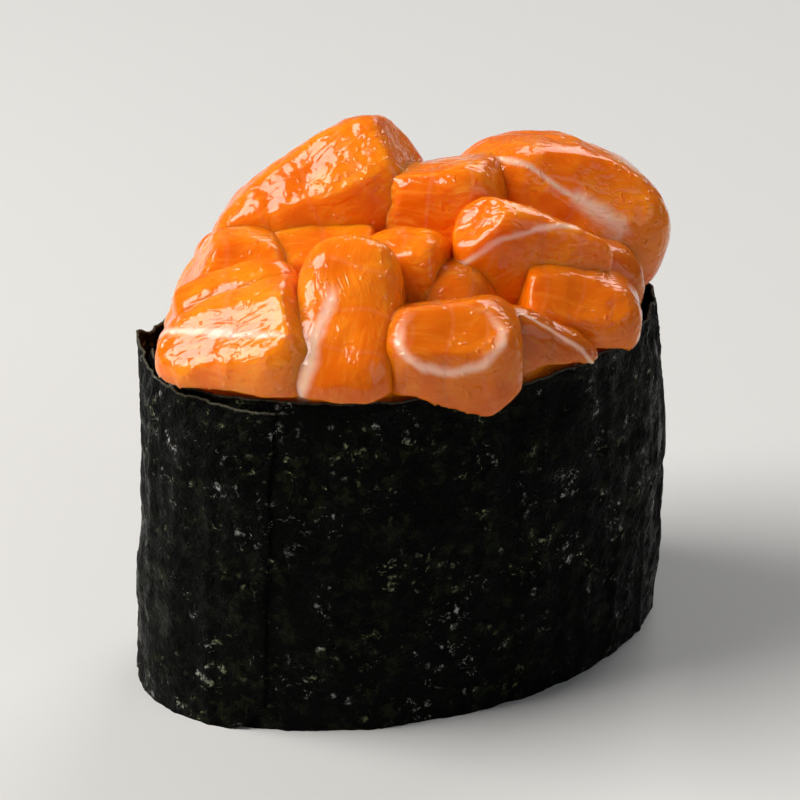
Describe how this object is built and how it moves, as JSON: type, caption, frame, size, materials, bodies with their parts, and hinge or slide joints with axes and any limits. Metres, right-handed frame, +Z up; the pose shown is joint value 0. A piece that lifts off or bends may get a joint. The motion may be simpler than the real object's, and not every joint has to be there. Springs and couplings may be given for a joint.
{
  "type": "gunkan sushi",
  "caption": "Gunkan sushi: an oval band of nori round a core of rice, heaped with diced raw salmon that rises above and over its rim.",
  "frame": {"origin": "the middle of the foot, on the surface the sushi stands on", "axes": "+Z up, X along the long axis of the oval, -Y the long side that carries the overhanging dice"},
  "size_m": [0.0548, 0.0403, 0.0497],
  "materials": {
    "nori": "toasted seaweed, near black with a green cast, crinkled, dull with glints",
    "rice": "cooked short-grain rice, moist",
    "salmon": "raw salmon, wet, translucent orange with pale fat lines"
  },
  "bodies": {
    "root": {"nori_band": "nori", "rice": "rice", "salmon_centre_wedge": "salmon", "salmon_front_dice": "salmon", "salmon_front_wedge": "salmon", "salmon_glassy_strip": "salmon", "salmon_front_slab": "salmon", "salmon_small_block": "salmon", "salmon_left_shoulder": "salmon", "salmon_ledge": "salmon", "salmon_top_left": "salmon", "salmon_right_dice": "salmon", "salmon_front_sliver": "salmon", "salmon_right_large": "salmon", "salmon_back_slab": "salmon", "salmon_right_sliver": "salmon", "salmon_centre_deep": "salmon", "salmon_back_left": "salmon", "salmon_back_middle": "salmon", "salmon_back_right": "salmon"}
  },
  "joints": []
}
